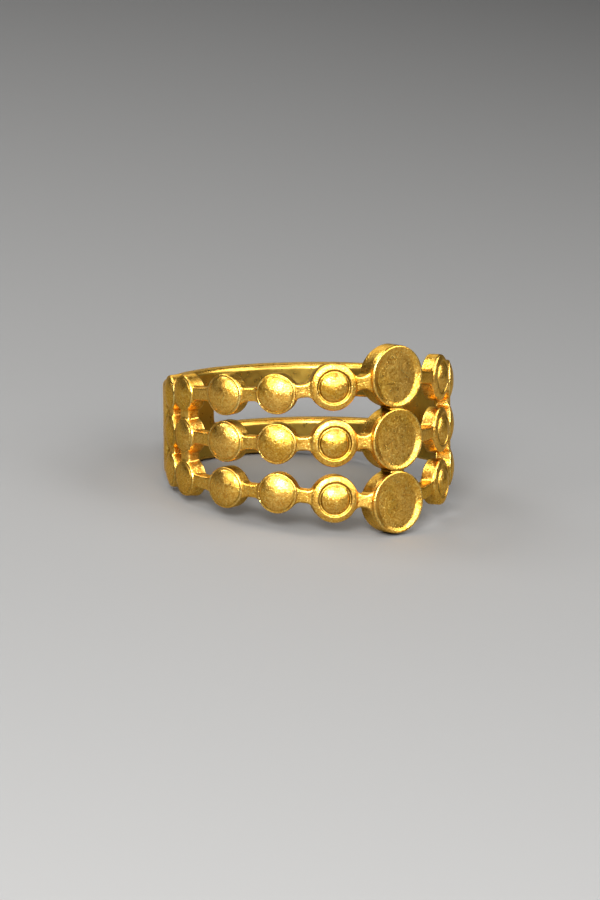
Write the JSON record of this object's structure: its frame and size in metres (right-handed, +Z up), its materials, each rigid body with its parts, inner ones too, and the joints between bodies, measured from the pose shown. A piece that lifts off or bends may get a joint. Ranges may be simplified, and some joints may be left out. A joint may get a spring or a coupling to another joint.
{
  "type": "finger ring",
  "caption": "Gold-coloured ring: rows of small domed and ringed discs joined by short bars, spreading towards a column of large recessed discs, with a slotted plain band behind",
  "frame": {"origin": "Middle of the bounding box in X and Y, at its lowest level in Z, which is the surface that the ring rests on.", "axes": "The ring lies on its lower rim as it comes to rest on a table, about ten degrees off level because the large discs reach lowest. +Z is up and nearest to the finger hole's axis, +X is to the viewer's right, and -Y is the front with the domed and ringed discs."},
  "size_m": [0.02, 0.02, 0.0123],
  "materials": {
    "gold": "satin gold plate with fine scratches"
  },
  "bodies": {
    "root": {"triple_band_ring": "gold"}
  },
  "joints": []
}
